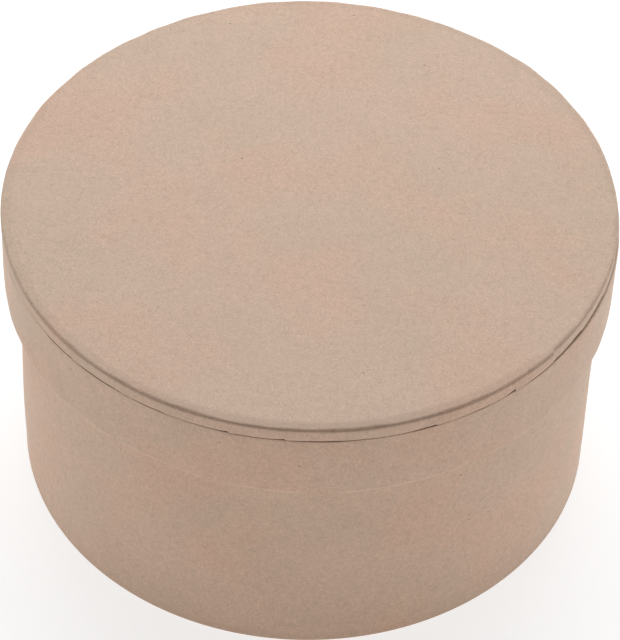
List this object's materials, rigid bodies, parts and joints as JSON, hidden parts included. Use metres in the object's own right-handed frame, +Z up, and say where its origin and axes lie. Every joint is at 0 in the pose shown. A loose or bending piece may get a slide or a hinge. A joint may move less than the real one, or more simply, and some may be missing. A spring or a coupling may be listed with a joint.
{
  "type": "round lidded paperboard box",
  "caption": "Round box of kraft paper over chipboard with a deep lift-off lid that slips over the base's rim.",
  "frame": {"origin": "centre of the foot, on the surface that the box stands on", "axes": "+Z up along the box's centre line, -Y towards the front of the picture, +X to its right"},
  "size_m": [0.15, 0.15, 0.0806],
  "materials": {
    "kraft_top": "matt, smooth, faint fibres",
    "kraft_band": "matt, smooth, faint fibres",
    "kraft_wall": "matt, smooth, faint fibres",
    "kraft_foot": "matt",
    "kraft_inside": "matt",
    "chipboard": "matt, coarse"
  },
  "bodies": {
    "base": {"foot_paper": "kraft_foot", "floor_board": "chipboard", "wall_board": "chipboard", "wall_wrap": "kraft_wall", "wall_lining": "kraft_inside", "floor_lining": "kraft_inside"},
    "lid": {"lid_disc": "chipboard", "lid_rim_board": "chipboard", "lid_rim_lining": "kraft_inside", "lid_top_lining": "kraft_inside", "lid_cap": "kraft_top", "lid_band": "kraft_band"}
  },
  "joints": [
    {"name": "lid_lift", "type": "slide", "parent": "base", "child": "lid", "axis": [0, 0, 1], "range_m": [0, 0.08]}
  ]
}
